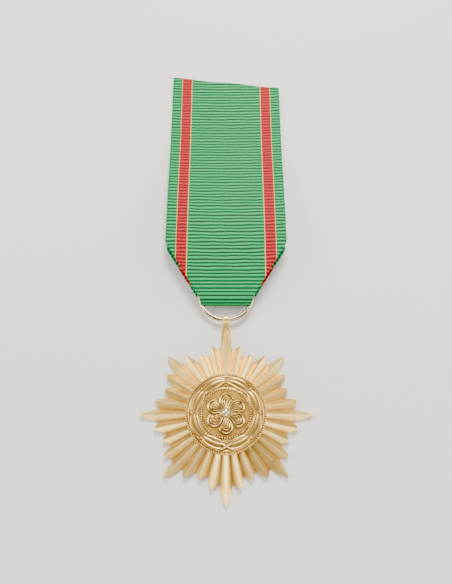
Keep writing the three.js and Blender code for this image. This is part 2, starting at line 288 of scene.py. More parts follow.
def giltBrass(name, look):
    # die-struck gilt brass: a satin skin, bright rubbed ridges and brown hollows
    material, tree, shader = startMaterial(name)
    place = addNode(tree, "ShaderNodeTexCoord").outputs["Object"]
    patches = addNode(tree, "ShaderNodeTexNoise", values={
        "Scale": 1 / (look["patchSize"] * mm), "Detail": 4, "Roughness": 0.6},
        links={"Vector": place})
    grain = addNode(tree, "ShaderNodeTexNoise", values={
        "Scale": 1 / (look["grainSize"] * mm), "Detail": 3, "Roughness": 0.65},
        links={"Vector": place})
    patchRamp = addNode(tree, "ShaderNodeValToRGB", links={"Fac": patches.outputs["Fac"]})
    setStops(patchRamp, [(0.32, look["warm"]), (0.62, look["clean"])])
    corner = addNode(tree, "ShaderNodeAmbientOcclusion",
                     settings={"samples": 12}, values={"Distance": look["hollowReach"] * mm})
    cornerRamp = addNode(tree, "ShaderNodeValToRGB", links={"Fac": corner.outputs["AO"]})
    setStops(cornerRamp, [(look["hollowStops"][0], 1.0), (look["hollowStops"][1], 0.0)])
    tarnish = addNode(tree, "ShaderNodeMath", settings={"operation": "MULTIPLY"},
                      values={1: 0.8}, links={0: cornerRamp.outputs["Color"]})
    brown = addNode(tree, "ShaderNodeMix", settings={"data_type": "RGBA"},
                    values={7: linearColour(look["hollow"])},
                    links={0: tarnish.outputs[0], 6: patchRamp.outputs["Color"]})
    edges = addNode(tree, "ShaderNodeNewGeometry")
    edgeRamp = addNode(tree, "ShaderNodeValToRGB", links={"Fac": edges.outputs["Pointiness"]})
    setStops(edgeRamp, [(0.53, 0.0), (0.64, 0.45)])
    bright = addNode(tree, "ShaderNodeMix", settings={"data_type": "RGBA"},
                     values={7: linearColour(look["rubbed"])},
                     links={0: edgeRamp.outputs["Color"], 6: brown.outputs[2]})
    tree.links.new(bright.outputs[2], shader.inputs["Base Color"])
    satin = addNode(tree, "ShaderNodeMapRange", values={
        "To Min": look["roughness"] - 0.07, "To Max": look["roughness"] + 0.10},
        links={"Value": grain.outputs["Fac"]})
    tree.links.new(satin.outputs["Result"], shader.inputs["Roughness"])
    bump = addNode(tree, "ShaderNodeBump", values={"Strength": 0.25, "Distance": 0.03 * mm},
                   links={"Height": grain.outputs["Fac"]})
    tree.links.new(bump.outputs["Normal"], shader.inputs["Normal"])
    shader.inputs["Metallic"].default_value = 1.0
    return material


wireLook = {
    "bright": "#D2BD93",
    "dull": "#8A7452",
    "markLength": 1.6,
    "markWidth": 0.09,
    "roughness": 0.24,
}


def drawnWire(name, look):
    # drawn and tumbled nickel-brass wire: pale, glossy, with draw marks along it
    material, tree, shader = startMaterial(name)
    place = addNode(tree, "ShaderNodeTexCoord").outputs["UV"]
    stretched = addNode(tree, "ShaderNodeMapping", values={
        "Scale": (1 / look["markLength"], 1 / look["markWidth"], 1)}, links={"Vector": place})
    marks = addNode(tree, "ShaderNodeTexNoise", values={"Scale": 1.0, "Detail": 3},
                    links={"Vector": stretched.outputs["Vector"]})
    ramp = addNode(tree, "ShaderNodeValToRGB", links={"Fac": marks.outputs["Fac"]})
    setStops(ramp, [(0.30, look["dull"]), (0.60, look["bright"])])
    tree.links.new(ramp.outputs["Color"], shader.inputs["Base Color"])
    bump = addNode(tree, "ShaderNodeBump", values={"Strength": 0.2, "Distance": 0.02 * mm},
                   links={"Height": marks.outputs["Fac"]})
    tree.links.new(bump.outputs["Normal"], shader.inputs["Normal"])
    shader.inputs["Metallic"].default_value = 1.0
    shader.inputs["Roughness"].default_value = look["roughness"]
    return material


silkLook = {
    "green": "#00AC58",
    # the darker green and red are painted shade, laid into the valleys between the ribs
    "greenValleyShade": "#00331A",
    "red": "#D00010",
    "redValleyShade": "#540206",
    "cream": "#D6A552",
    "stripeOuter": 12.7,      # mm from the ribbon's middle line
    "stripeInner": 9.9,
    "creamHalf": 0.10,
    "wanderSize": 1.11,
    "warpPitch": 0.26,
    "fibreSize": 0.385,
    "roughness": 0.5,
}


def stripedSilk(name, look, ribbonHalf):
    # ribbed silk: warp floats shine on each rib, the valleys are deep and matt, and their colour is
    # darkened there as painted shade
    material, tree, shader = startMaterial(name)
    weave = addNode(tree, "ShaderNodeUVMap", settings={"uv_map": "weave"})
    split = addNode(tree, "ShaderNodeSeparateXYZ", links={"Vector": weave.outputs["UV"]})
    across, along = split.outputs["X"], split.outputs["Y"]
    place = addNode(tree, "ShaderNodeTexCoord").outputs["Object"]

    # stripe borders wander by a thread or so
    wander = addNode(tree, "ShaderNodeTexNoise", values={
        "Scale": 1 / (look["wanderSize"] * mm), "Detail": 2}, links={"Vector": place})
    shift = addNode(tree, "ShaderNodeMath", settings={"operation": "MULTIPLY_ADD"},
                    values={1: 0.10, 2: -0.05}, links={0: wander.outputs["Fac"]})
    fromMiddle = addNode(tree, "ShaderNodeMath", settings={"operation": "ABSOLUTE"},
                         links={0: across})
    placed = addNode(tree, "ShaderNodeMath", settings={"operation": "ADD"},
                     links={0: fromMiddle.outputs[0], 1: shift.outputs[0]})
    share = addNode(tree, "ShaderNodeMath", settings={"operation": "DIVIDE"},
                    values={1: ribbonHalf}, links={0: placed.outputs[0]})
    marks = [0, look["stripeInner"] - look["creamHalf"], look["stripeInner"] + look["creamHalf"],
             look["stripeOuter"] - look["creamHalf"], look["stripeOuter"] + look["creamHalf"]]
    top = addNode(tree, "ShaderNodeValToRGB", links={"Fac": share.outputs[0]})
    # the same stripes in darker colours: painted shade for the rib valleys
    valleyShadeRamp = addNode(tree, "ShaderNodeValToRGB", links={"Fac": share.outputs[0]})
    for ramp, green, red in [(top, "green", "red"), (valleyShadeRamp, "greenValleyShade", "redValleyShade")]:
        colours = [green, "cream", red, "cream", green]
        setStops(ramp, [(mark / ribbonHalf, look[colour]) for mark, colour in
                        zip(marks, colours)], "CONSTANT")

    # ribs run across, one for each whole step of the second coordinate; each rib's valley gets the
    # darker colours as painted shade
    phase = addNode(tree, "ShaderNodeMath", settings={"operation": "MULTIPLY"},
                    values={1: math.pi}, links={0: along})
    wave = addNode(tree, "ShaderNodeMath", settings={"operation": "SINE"},
                   links={0: phase.outputs[0]})
    rib = addNode(tree, "ShaderNodeMath", settings={"operation": "ABSOLUTE"},
                  links={0: wave.outputs[0]})
    ribShadeMask = addNode(tree, "ShaderNodeValToRGB", links={"Fac": rib.outputs[0]})
    setStops(ribShadeMask, [(0.34, 0.0), (0.97, 1.0)])
    colour = addNode(tree, "ShaderNodeMix", settings={"data_type": "RGBA"},
                     links={0: ribShadeMask.outputs["Color"], 6: valleyShadeRamp.outputs["Color"],
                            7: top.outputs["Color"]})
    # warp threads and the slubs in them, both drawn coarser than real so that they show
    warp = addNode(tree, "ShaderNodeMath", settings={"operation": "MULTIPLY"},
                   values={1: math.tau / look["warpPitch"]}, links={0: across})
    thread = addNode(tree, "ShaderNodeMath", settings={"operation": "SINE"},
                     links={0: warp.outputs[0]})
    fibre = addNode(tree, "ShaderNodeTexNoise", values={
        "Scale": 1 / (look["fibreSize"] * mm), "Detail": 2}, links={"Vector": place})
    height = addNode(tree, "ShaderNodeMath", settings={"operation": "MULTIPLY_ADD"},
                     values={1: 0.3}, links={0: thread.outputs[0], 2: fibre.outputs["Fac"]})
    tone = addNode(tree, "ShaderNodeMapRange", values={
        "From Min": 0.1, "From Max": 0.9, "To Min": 0.66, "To Max": 1.26},
        links={"Value": height.outputs[0]})
    dyed = addNode(tree, "ShaderNodeMix", settings={"data_type": "RGBA", "blend_type": "MULTIPLY"},
                   values={0: 1.0}, links={6: colour.outputs[2], 7: tone.outputs["Result"]})
    tree.links.new(dyed.outputs[2], shader.inputs["Base Color"])
    bump = addNode(tree, "ShaderNodeBump", values={"Strength": 0.35, "Distance": 0.05 * mm},
                   links={"Height": height.outputs[0]})
    tree.links.new(bump.outputs["Normal"], shader.inputs["Normal"])
    shader.inputs["Roughness"].default_value = look["roughness"]
    shader.inputs["Specular IOR Level"].default_value = 0.18
    return material


threadLook = {"light": "#2E8F5C", "dark": "#124A2C", "plySize": 0.12, "roughness": 0.75}


def sewingThread(name, look):
    # polished cotton thread: two plies, fuzzy and matt
    material, tree, shader = startMaterial(name)
    place = addNode(tree, "ShaderNodeTexCoord").outputs["Object"]
    fuzz = addNode(tree, "ShaderNodeTexNoise", values={
        "Scale": 1 / (look["plySize"] * mm), "Detail": 3}, links={"Vector": place})
    ramp = addNode(tree, "ShaderNodeValToRGB", links={"Fac": fuzz.outputs["Fac"]})
    setStops(ramp, [(0.35, look["dark"]), (0.65, look["light"])])
    tree.links.new(ramp.outputs["Color"], shader.inputs["Base Color"])
    bump = addNode(tree, "ShaderNodeBump", values={"Strength": 0.5, "Distance": 0.03 * mm},
                   links={"Height": fuzz.outputs["Fac"]})
    tree.links.new(bump.outputs["Normal"], shader.inputs["Normal"])
    shader.inputs["Roughness"].default_value = look["roughness"]
    shader.inputs["Sheen Weight"].default_value = 0.2
    return material


def finishPiece(piece, material, body, node, angle):
    piece.data.materials.clear()
    piece.data.materials.append(material)
    smoothTo(piece, angle)
    settle(piece)
    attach(piece, body)
    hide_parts(node)


# the ray star

star = {
    "rays": 32,
    "mainTip": 20.0,
    "diagonalTip": 19.7,
    "nearTip": 16.9,
    "middleTip": 15.6,
    "longNotch": 15.4,
    "shortNotch": 14.0,
    "tipCurve": 1.4,
    "tipHalf": 0.17,
    "root": 8.4,
    "ridge": (2.2, 1.3),      # height at the root and at the longest tip
    "groove": (1.45, 0.85),
    "ridgeBevel": 0.06,
    "bar": (3.4, 2.4),        # width and height of the bar that a ray is cut from
    "pointLength": 0.45,      # the ridge falls to the ray's point over this length
    "pointFall": (1.0, 0, 1.15),
    "flankSteps": (0, 0.25, 0.5, 0.7, 0.87, 1),
    "hubRadius": 9.1,
    "hubHeight": 2.15,
    "rivetHole": 0.9,
    "recess": (2.0, 0.75),    # radius and depth, in the back round the burr
    "pivot": (0, 23.3, 1.6),
    "eyeletOuter": 1.2,
    "eyeletHole": 0.85,
    "eyeletWidth": 1.56,
}


def starHeight(radius, ends):
    share = (radius - star["root"]) / (star["mainTip"] - star["root"])
    return ends[0] + (ends[1] - ends[0]) * share


def cutRay(name, tip, notches):
    # one ray along +X, cut from a bar: curved flanks, two roof slopes, open towards its neighbours
    root = star["root"]
    half = math.pi / star["rays"]
    across, tall = star["bar"]
    bpy.ops.mesh.primitive_cube_add(size=1, location=((tip + root) / 2, 0, tall / 2),
                                    scale=(tip - root, across, tall))
    piece = startPiece(name)
    editPiece(piece)
    crown = tip - star["pointLength"]
    cutAway((crown, 0, starHeight(crown, star["ridge"])), star["pointFall"])
    for side, notch in zip((1, -1), notches):
        wide = notch * math.sin(half)
        start = notch * math.cos(half)
        flank = []
        for share in star["flankSteps"]:
            width = wide * (1 - share ** star["tipCurve"]) + star["tipHalf"] * share
            flank.append((start + (tip - start) * share, side * width))
        for (x0, y0), (x1, y1) in zip(flank, flank[1:]):
            cutAway((x0, y0, 0), (abs(y0 - y1), side * (x1 - x0), 0))
        ridgeA = Vector((root, 0, starHeight(root, star["ridge"])))
        ridgeB = Vector((tip, 0, starHeight(tip, star["ridge"])))
        low = Vector((*polar(root, side * math.degrees(half)), starHeight(root, star["groove"])))
        slope = (ridgeB - ridgeA).cross(low - ridgeA) * side
        cutAway(ridgeA, slope)
    # the ridge is the long edge on the ray's middle line
    choose(piece, "EDGE", lambda e: all(abs(v.co.y) < 1e-3 and v.co.z > 1 for v in e.verts)
           and abs(e.verts[0].co.x - e.verts[1].co.x) > 2)
    bpy.ops.mesh.bevel(offset=star["ridgeBevel"], segments=2, affect="EDGES")
    for side in (1, -1):
        cutAway((0, 0, 0), (-math.sin(half), side * math.cos(half), 0), fill=False)
    bpy.ops.object.mode_set(mode="OBJECT")
    return piece


def buildStar():
    longSide, shortSide = star["longNotch"], star["shortNotch"]
    kinds = {
        "main": cutRay("rayMain", star["mainTip"], (longSide, longSide)),
        "diagonal": cutRay("rayDiagonal", star["diagonalTip"], (longSide, longSide)),
        "after": cutRay("rayAfter", star["nearTip"], (shortSide, longSide)),
        "before": cutRay("rayBefore", star["nearTip"], (longSide, shortSide)),
        "middle": cutRay("rayMiddle", star["middleTip"], (shortSide, shortSide)),
    }
    order = ["main", "after", "middle", "before", "diagonal", "after", "middle", "before"]
    rays = []
    for index in range(star["rays"]):
        kind = kinds[order[index % len(order)]]
        rays.append(copyTurned(kind, index * 360 / star["rays"]))
    for kind in kinds.values():
        bpy.data.objects.remove(kind)
    piece = joinAll(rays, "star_rays")
    tidyMesh(piece, 0.01)
    combine(piece, drum("hub", star["hubRadius"], 0, star["hubHeight"], 96), "UNION")
    return piece


neck = {
    "block": (3.6, 2.5),      # width and height before it is cut to shape
    "flank": [(1.66, 15.6), (1.24, 19.4), (1.02, 21.2), (0.79, 22.9), (0.77, 23.6)],
    "tab": ((14.6, 0.75), (21.3, 1.12)),      # y and height at both ends
    "ramp": ((20.2, 0.8), (23.4, 2.1)),
    "edge": 0.07,
    "border": [(1.3, 17.0), (1.12, 18.8), (0.98, 20.2), (0.82, 21.3), (0.66, 22.2)],
    "borderWidths": (0.18, 0.24, 0.26, 0.26, 0.2),
    "borderHeight": 0.4,
    "borderBase": 1.12,
    "bumpRadius": 0.4,
    "bumpPlace": (0, 20.95, 1.08),
    "dishRadius": 0.6,
    "dishPlace": (0, 21.95, 1.98),
}


def neckPlate(name, ends):
    # a tapering stretch of the tab that carries the eyelet, its top sloping along it
    (low, lowHeight), (high, highHeight) = ends
    across, tall = neck["block"]
    bpy.ops.mesh.primitive_cube_add(
        size=1, location=(0, (low + high) / 2, tall / 2), scale=(across, high - low, tall))
    piece = startPiece(name)
    editPiece(piece)
    rise = (highHeight - lowHeight) / (high - low)
    cutAway((0, low, lowHeight), (0, -rise, 1))
    flank = neck["flank"]
    for side in (1, -1):
        for (x0, y0), (x1, y1) in zip(flank, flank[1:]):
            cutAway((side * x0, y0, 0), (side * (y1 - y0), x0 - x1, 0))
    # the upper edges that run along the neck
    choose(piece, "EDGE", lambda e: all(v.co.z > 0.3 for v in e.verts)
           and abs(e.verts[0].co.x) > 0.3 and abs(e.verts[0].co.y - e.verts[1].co.y) > 0.2)
    bpy.ops.mesh.bevel(offset=neck["edge"], segments=2, affect="EDGES")
    bpy.ops.object.mode_set(mode="OBJECT")
    return piece


def buildNeck():
    # the tab comes out from under the upright ray's point and climbs to the eyelet
    piece = neckPlate("neck", neck["tab"])
    combine(piece, neckPlate("ramp", neck["ramp"]), "UNION")
    for side in (1, -1):
        path = [(side * x, y) for x, y in neck["border"]]
        border = drawnRidge("border", path, neck["borderWidths"], neck["borderHeight"],
                            neck["borderBase"])
        combine(piece, border, "UNION")
    bump = bead("bump", neck["bumpRadius"], neck["bumpPlace"], (1, 0.8, 0.8), 0, 16, 10)
    combine(piece, bump, "UNION")
    return piece


def buildEyelet():
    half = star["eyeletWidth"] / 2
    piece = drum("eyelet", star["eyeletOuter"], -half, half, 40, 0.16, "X", star["pivot"])
    editPiece(piece)
    # the loop narrows to a rounded point at its top
    for share in (0.0, 0.35, 0.6, 0.8, 0.92):
        height = star["pivot"][1] + star["eyeletOuter"] * share
        choose(piece, "VERT", lambda v: v.co.y > height - 1e-4)
        bpy.ops.transform.resize(value=(0.82, 1, 1), center_override=star["pivot"])
    bpy.ops.object.mode_set(mode="OBJECT")
    return piece


gilt = giltBrass("dieStruckGiltBrass", giltLook)
rayStar = buildStar()
combine(rayStar, buildNeck(), "UNION")
combine(rayStar, buildEyelet(), "UNION")
for cutter in (
        bead("dish", neck["dishRadius"], neck["dishPlace"], (0.85, 1.0, 1.0), 0, 20, 12),
        drum("wireHole", star["eyeletHole"], -2, 2, 32, 0, "X", star["pivot"]),
        drum("rivetHole", star["rivetHole"], -1, 3, 24),
        drum("backRecess", star["recess"][0], -1, star["recess"][1], 40)):
    combine(rayStar, cutter, "DIFFERENCE")
rayStar.name = "struck_ray_star"
finishPiece(rayStar, gilt, "star", "ray_star", 22)
print("star ready,", len(rayStar.data.polygons), "faces")


# the medallion

medallion = {
    "ropeBeads": 104,
    "ropeRadius": 9.13,
    "ropeBase": 3.09,
    "pearls": 62,
    "pearlRadius": 5.68,
    "pearlBase": 2.97,
    "leafBase": 2.92,
    "leafBulge": (5.815, 7.3, 8.785),         # how far out three leaves reach between their ties
    "leafSizes": ((0.72, 0.17), (0.9, 0.26), (0.72, 0.17)),   # width and height
    "tieEnds": (6.75, 7.3, 7.85),
    "pointEnds": (7.35, 7.75, 8.1),           # the two upper bundles rise to a point
    "tieAngles": (0, 45, 135, 180, 225, 315),
    "tieRadii": (6.55, 8.0),
    "petals": 6,
    "rimBase": 2.94,
    "veinBase": 2.96,
}


def buildBlank():
    # foot, rope seat, groove, wreath ground, pearl circle, field and the boss's collar
    section = [
        (0.9, 2.25), (9.2, 2.25), (9.4, 2.42), (9.4, 2.92), (9.3, 3.02), (8.92, 3.04),
        (8.84, 2.96), (8.78, 3.02), (8.66, 3.06), (8.54, 3.0), (8.48, 2.88), (8.3, 2.84),
        (7.3, 2.92), (6.3, 2.86), (6.08, 2.84), (6.0, 2.94), (5.9, 2.96), (5.84, 2.88),
        (5.5, 2.88), (5.42, 2.97), (5.3, 2.97), (5.2, 2.86), (4.8, 2.85),
        (1.6, 2.89), (1.25, 2.95), (1.1, 3.12), (0.9, 3.12), (0.9, 2.25),
    ]
    return turnedShape("medallionBlank", section, 128)


def buildRope():
    place = (medallion["ropeRadius"], 0, medallion["ropeBase"])
    lay = bead("ropeBead", 0.23, place, (1.25, 0.86, 0.95), math.radians(38), 8, 5)
    return ringOf(lay, medallion["ropeBeads"])


def buildPearls():
    place = (medallion["pearlRadius"], 0, medallion["pearlBase"])
    pearl = bead("pearl", 0.24, place, (1, 1, 0.85), 0, 8, 5)
    return ringOf(pearl, medallion["pearls"])


def bundlePath(radii, fromAngle, toAngle, steps=11):
    # a line along the wreath, its radius easing through three values
    start, middle, end = radii
    points = []
    for index in range(steps + 1):
        share = index / steps
        radius = start * (1 - share) ** 2 + end * share ** 2 + 2 * middle * share * (1 - share)
        points.append(polar(radius, fromAngle + (toAngle - fromAngle) * share))
    return points


def leafWidths(width, steps=11, point=0.14):
    return [width * (point + (1 - point) * math.sin(math.pi * i / steps) ** 0.75)
            for i in range(steps + 1)]


def buildBundle(fromAngle, firstEnds, lastEnds):
    # three long leaves that spring from one tie and close at the next, an eighth further round
    leaves = []
    for radii, size in zip(zip(firstEnds, medallion["leafBulge"], lastEnds),
                           medallion["leafSizes"]):
        path = bundlePath(radii, fromAngle + 1.5, fromAngle + 43.5)
        leaves.append(drawnRidge("leaf", path, leafWidths(size[0]), size[1],
                                 medallion["leafBase"]))
    return leaves


def buildWreath():
    shapes = []
    tied, raised = medallion["tieEnds"], medallion["pointEnds"]
    for start in (0, 135, 180, 225, 270, 315):
        shapes += buildBundle(start, tied, tied)
    shapes += buildBundle(45, tied, raised)
    shapes += buildBundle(90, raised, tied)
    for sign in (1, -1):
        path = []
        for index in range(9):
            share = index / 8
            path.append(polar(6.15 + 1.1 * share ** 1.8, 90 + sign * 30 * (1 - share)))
        shapes.append(drawnRidge("ogee", path, [0.2] * 9, 0.22, medallion["leafBase"]))
    for angle in medallion["tieAngles"]:
        for radius in medallion["tieRadii"]:
            shapes.append(bead("tieDot", 0.3, (*polar(radius, angle), 3.04), (1, 1, 0.9), 0, 12, 8))
    # berries in the corners under the upper leaves, and a cluster under the point
    berries = [(6.45, 131, 0.24), (6.2, 124, 0.17), (6.45, 49, 0.24), (6.2, 56, 0.17),
               (6.55, 90, 0.24), (6.25, 86.3, 0.19), (6.25, 93.7, 0.19)]
    for radius, angle, size in berries:
        shapes.append(bead("berry", size, (*polar(radius, angle), 2.98), (1, 1, 0.9), 0, 10, 6))
    # the wreath's foot: two ribbon ends crossing
    for sign in (1, -1):
        path = [(sign * 1.35, -6.75), (sign * 0.7, -7.15), (0, -7.55), (-sign * 0.8, -8.0),
                (-sign * 1.5, -8.3)]
        tall, broad = (0.40, 1.35) if sign > 0 else (0.26, 1.0)
        widths = [broad * width for width in (0.34, 0.5, 0.52, 0.46, 0.3)]
        shapes.append(drawnRidge("sash", path, widths, tall, 2.98))
    return shapes


def buildPetal():
    # a low mound with a curled outer rim and four veins nested inside it
    mound = bead("petalMound", 1.0, (3.05, 0.05, 2.86), (1.7, 1.3, 0.12), 0, 20, 10)
    editPiece(mound)
    for edge in (2.6, 2.1, 1.7):
        choose(mound, "VERT", lambda v: v.co.x < edge)
        bpy.ops.transform.resize(value=(1, 0.72, 1), center_override=(2, 0, 2.88))
    bpy.ops.object.mode_set(mode="OBJECT")
    # each line is its points, its widths along the way and its height
    rim = [(1.0, 0.34), (1.5, 0.72), (2.05, 1.12), (2.65, 1.38), (3.3, 1.4), (3.95, 1.12),
           (4.4, 0.62), (4.58, 0.02), (4.45, -0.6), (4.1, -1.12), (3.65, -1.45), (3.3, -1.5)]
    rimWidths = [0.2, 0.26, 0.36, 0.46, 0.54, 0.58, 0.58, 0.58, 0.56, 0.56, 0.6, 0.4]
    veins = [
        ([(1.0, 0.2), (1.6, 0.42), (2.2, 0.72), (2.8, 0.9), (3.35, 0.82), (3.75, 0.5),
          (3.92, 0.05), (3.8, -0.42), (3.55, -0.75)],
         [0.18, 0.24, 0.3, 0.34, 0.36, 0.36, 0.34, 0.3, 0.14], 0.24),
        ([(1.0, 0.05), (1.7, 0.12), (2.3, 0.3), (2.8, 0.42), (3.18, 0.3), (3.32, -0.02),
          (3.22, -0.35)],
         [0.16, 0.22, 0.28, 0.32, 0.34, 0.3, 0.14], 0.22),
        ([(1.0, -0.12), (1.7, -0.16), (2.3, -0.14), (2.75, -0.22), (2.95, -0.5)],
         [0.16, 0.22, 0.28, 0.3, 0.14], 0.22),
        ([(1.0, -0.28), (1.6, -0.46), (2.15, -0.62), (2.6, -0.85), (2.85, -1.12)],
         [0.16, 0.22, 0.28, 0.3, 0.14], 0.22),
    ]
    lines = [drawnRidge("petalRim", rim, rimWidths, 0.46, medallion["rimBase"])]
    for path, widths, height in veins:
        lines.append(drawnRidge("petalVein", path, widths, height, medallion["veinBase"]))
    return joinAll([mound, *lines], "petal")


petal = buildPetal()
petals = [copyTurned(petal, 90 + index * 360 / medallion["petals"])
          for index in range(medallion["petals"])]
bpy.data.objects.remove(petal)
disc = joinAll([buildBlank(), buildRope(), buildPearls(), *buildWreath(), *petals],
               "struck_medallion")
reliefLook = dict(giltLook, clean="#FBC65C", warm="#E5A740", hollow="#341C03",
                  hollowReach=0.4, hollowStops=(0.52, 0.97), roughness=0.31)
relief = giltBrass("dieStruckGiltRelief", reliefLook)
finishPiece(disc, relief, "star", "medallion_disc", 40)
print("medallion ready,", len(disc.data.polygons), "faces")


# the rivet and its burr

rivet = {
    "shank": 0.6,
    "ball": 1.06,
    "seat": 3.17,
    "middle": 3.52,
    "tail": [(0, 0.06), (0.5, 0.08), (0.84, 0.16), (0.9, 0.26), (0.84, 0.32), (0.6, 0.32)],
    "burr": [(0.6, 0.32), (1.55, 0.32), (1.68, 0.38), (1.7, 0.44), (1.7, 0.58), (1.66, 0.64),
             (0.6, 0.64), (0.6, 0.32)],
}


def buildRivet():
    ball, middle, seat = rivet["ball"], rivet["middle"], rivet["seat"]
    section = [*rivet["tail"], (rivet["shank"], seat - 0.1), (0.9, seat - 0.05), (0.96, seat)]
    low = math.asin((seat - middle) / ball)
    for index in range(1, 13):
        angle = low + (math.pi / 2 - low) * index / 12
        section.append((ball * math.cos(angle), middle + ball * math.sin(angle)))
    section[-1] = (0, middle + ball)
    return turnedShape("round_head_rivet", section, 40)


rivetLook = dict(giltLook, clean="#F0E2C0", warm="#D9C493", hollow="#7A5A30",
                 patchSize=1.6, hollowReach=0.5, roughness=0.30)
polished = giltBrass("polishedGiltBrass", rivetLook)
finishPiece(buildRivet(), polished, "star", "centre_rivet", 40)
burr = turnedShape("brass_burr", rivet["burr"], 48)
finishPiece(burr, gilt, "star", "rivet_burr", 40)
print("rivet ready")


# the suspension ring

ring = {
    "radius": 6.6,
    "wire": 0.55,
    "middle": (0, 29.9, 1.6),
    "jointAngle": -122,
    "gap": 0.22,
    "sides": 20,
    "steps": 120,
}


def buildRing():
    # round wire bent in a circle, its two sawn ends almost meeting
    halfGap = math.degrees(ring["gap"] / 2 / ring["radius"])
    start = ring["jointAngle"] + halfGap
    x, y = polar(ring["radius"], start)
    middle = Vector(ring["middle"])
    bpy.ops.mesh.primitive_circle_add(
        vertices=ring["sides"], radius=ring["wire"], fill_type="NGON",
        location=middle + Vector((x, y, 0)), rotation=(math.pi / 2, 0, math.radians(start)))
    piece = startPiece("split_ring")
    editPiece(piece)
    bpy.ops.mesh.select_all(action="SELECT")
    bpy.ops.mesh.spin(steps=ring["steps"], angle=math.radians(360 - 2 * halfGap),
                      center=middle, axis=(0, 0, 1))
    bpy.ops.object.mode_set(mode="OBJECT")
    tidyMesh(piece)
    return piece


def wrapCoordinates(piece):
    # first coordinate along the wire, second round it, both in mm
    layer = piece.data.uv_layers.new(name="alongWire")
    middle = Vector(ring["middle"])
    for loop in piece.data.loops:
        offset = piece.data.vertices[loop.vertex_index].co - middle
        turn = math.atan2(offset.y, offset.x)
        out = Vector((offset.x, offset.y)).length - ring["radius"]
        layer.data[loop.index].uv = (turn * ring["radius"],
                                     math.atan2(offset.z, out) * ring["wire"])


wireRing = buildRing()
wrapCoordinates(wireRing)
pale = drawnWire("drawnNickelBrassWire", wireLook)
finishPiece(wireRing, pale, "ring", "suspension_ring", 40)
print("ring ready")


# the ribbon: one sheet of ribbed silk, folded through the ring with its corners tucked in

ribbon = {
    "half": 15.5,
    "thickness": 0.25,
    "foldY": 27.0,
    "foldRadius": 1.9,
    "waistHalf": 5.95,        # half the fold's width, at the outside of the creases
    "cornerHalf": 6.5,        # and the least that it narrows to
    "flapAngle": 31.0,        # degrees between a diagonal crease and the ribbon's length
    "flapStep": 0.53,         # two layers and a hair between them
    "endY": 97.8,
    "endSkew": 1.9,
    "endWaves": ((0.16, 0.42, 0.6), (0.05, 1.9, 0.0)),    # height, rate and start of each
    "arch": [(28.9, 3.8), (34, 4.35), (40, 4.7), (46, 4.75), (53, 4.4), (61, 3.5), (69, 2.35),
             (77, 1.4), (86, 1.05), (102.8, 1.0)],
    "ribPitch": 0.985,
    "ribSamples": 5,
    "ribDepth": 0.13,
    "ribFullness": 0.8,       # 1 would be a plain sine, less is rounder
    "backShare": 0.4,         # depth of the ribs on the inner face, as a share of the outer
    "selvedgeWidth": 0.5,
    "selvedgeSink": 0.10,
    "selvedgeInset": 0.16,
    "selvedgeLoop": 0.2,      # each rib's weft loops out this far at the edge
    "bow": 0.35,              # ribs bow towards the fold, but not close to it
    "bowFrom": 4.0,
    "bowEase": 10.0,
    "wobble": 0.07,           # how far a rib strays from straight
    "pitchDrift": 0.06,       # share of a rib by which its neighbours' spacing wanders
    "innerColumns": 14,
    "bendColumns": 6,
    "edgeColumns": 5,
}


def archHeight(y):
    # the front layer's outer face: smooth through the arch's points
    points = ribbon["arch"]
    y = min(max(y, points[0][0]), points[-1][0] - 1e-6)
    index = max(i for i in range(len(points) - 1) if points[i][0] <= y)
    (y0, z0), (y1, z1) = points[index], points[index + 1]
    before = points[index - 1] if index else (2 * y0 - y1, z0 - 0.6)
    after = points[index + 2] if index + 2 < len(points) else (2 * y1 - y0, z1)
    slope0 = (z1 - before[1]) / (y1 - before[0])
    slope1 = (after[1] - z0) / (after[0] - y0)
    t = (y - y0) / (y1 - y0)
    width = y1 - y0
    return ((2 * t ** 3 - 3 * t ** 2 + 1) * z0 + (t ** 3 - 2 * t ** 2 + t) * width * slope0
            + (3 * t ** 2 - 2 * t ** 3) * z1 + (t ** 3 - t ** 2) * width * slope1)


def frontTable():
    # distance along the front layer for each step of y
    table = [(0.0, ribbon["arch"][0][0])]
    y = table[0][1]
    while y < 102:
        step = 0.1
        rise = archHeight(y + step) - archHeight(y)
        table.append((table[-1][0] + math.hypot(step, rise), y + step))
        y += step
    return table


archTable = frontTable()
quarter = ribbon["foldRadius"] * math.pi / 2
turnY = ribbon["foldY"] + ribbon["foldRadius"]


def sidePoint(run):
    # y, share of the height from back to front, and outward normal, run mm from the fold
    if abs(run) <= quarter:
        angle = run / ribbon["foldRadius"]
        return (turnY - ribbon["foldRadius"] * math.cos(angle), 0.5 + 0.5 * math.sin(angle),
                (-math.cos(angle), math.sin(angle)))
    if run < 0:
        return turnY - run - quarter, 0.0, (0.0, -1.0)
    rest = run - quarter
    low, high = 0, len(archTable) - 1
    while high - low > 1:
        middle = (low + high) // 2
        if archTable[middle][0] <= rest:
            low = middle
        else:
            high = middle
    (d0, y0), (d1, y1) = archTable[low], archTable[high]
    y = y0 + (y1 - y0) * min(1, (rest - d0) / (d1 - d0))
    lean = (archHeight(y + 0.05) - archHeight(y - 0.05)) / 0.1
    size = math.hypot(lean, 1)
    return y, 1.0, (-lean / size, 1 / size)


def runAt(y, front):
    # distance from the fold's outermost line to a place on one of the two layers
    if not front:
        return -(y - turnY + quarter)
    return quarter + max(d for d, at in archTable if at <= y)


def creaseLine(y):
    # half the width between the two diagonal creases; the fold's own corners are blunt
    lean = math.tan(math.radians(ribbon["flapAngle"]))
    return max(ribbon["cornerHalf"], ribbon["waistHalf"] + (y - ribbon["foldY"]) * lean)


